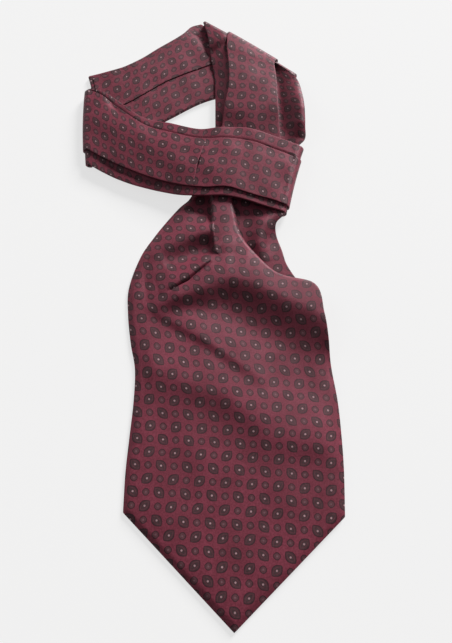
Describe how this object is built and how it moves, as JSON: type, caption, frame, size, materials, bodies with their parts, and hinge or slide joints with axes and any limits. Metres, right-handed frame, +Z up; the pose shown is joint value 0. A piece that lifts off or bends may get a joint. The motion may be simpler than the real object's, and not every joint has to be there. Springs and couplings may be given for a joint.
{
  "type": "silk cravat",
  "caption": "Printed silk cravat laid flat in one loop: wide pointed front blade, centre pleat and gathers under a folded neck band.",
  "frame": {"origin": "on the surface it lies on, under the middle of its outline", "axes": "+Z up from the surface, +Y from the point of the front blade towards the neck band, +X to the right as seen from above"},
  "size_m": [0.2033, 0.4931, 0.0152],
  "materials": {
    "printed_silk": "fine silk twill with a small all-over print, soft sheen"
  },
  "bodies": {
    "root": {"back_blade": "printed_silk", "front_blade": "printed_silk", "front_blade_side_pleat": "printed_silk", "neck_front_left": "printed_silk", "neck_front_right": "printed_silk", "neck_pleat_left": "printed_silk", "neck_pleat_right": "printed_silk", "neck_rear": "printed_silk", "neck_rear_pleat": "printed_silk", "neck_side": "printed_silk", "neck_side_flap": "printed_silk", "neck_under": "printed_silk"}
  },
  "joints": []
}
